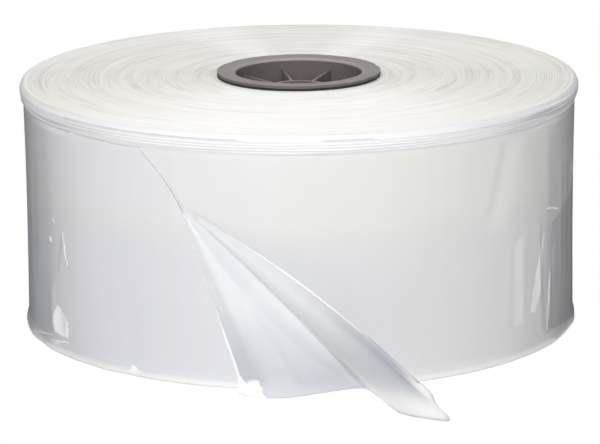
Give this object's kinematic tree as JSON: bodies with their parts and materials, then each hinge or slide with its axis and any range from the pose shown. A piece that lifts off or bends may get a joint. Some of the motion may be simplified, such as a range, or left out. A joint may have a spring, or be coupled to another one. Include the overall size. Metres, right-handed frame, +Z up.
{
  "type": "roll of poly tubing",
  "caption": "Upright roll of clear flattened poly film tubing on a paperboard core with plastic end plugs, the loose end of the film folded down at the front.",
  "frame": {"origin": "on the core's axis at the table, in the plane of the lower end face", "axes": "+Z up along the core, -Y the front, where the loose end of the film is, +X to the right"},
  "size_m": [0.2886, 0.3411, 0.1296],
  "materials": {
    "film": "clear polyethylene film, milky where it is wound",
    "paperboard": "raw spiral-wound paperboard",
    "plug_plastic": "satin moulded plastic"
  },
  "bodies": {
    "root": {"film_roll": "film", "core_tube": "paperboard", "core_plug_bottom": "plug_plastic", "core_plug_top": "plug_plastic"}
  },
  "joints": []
}
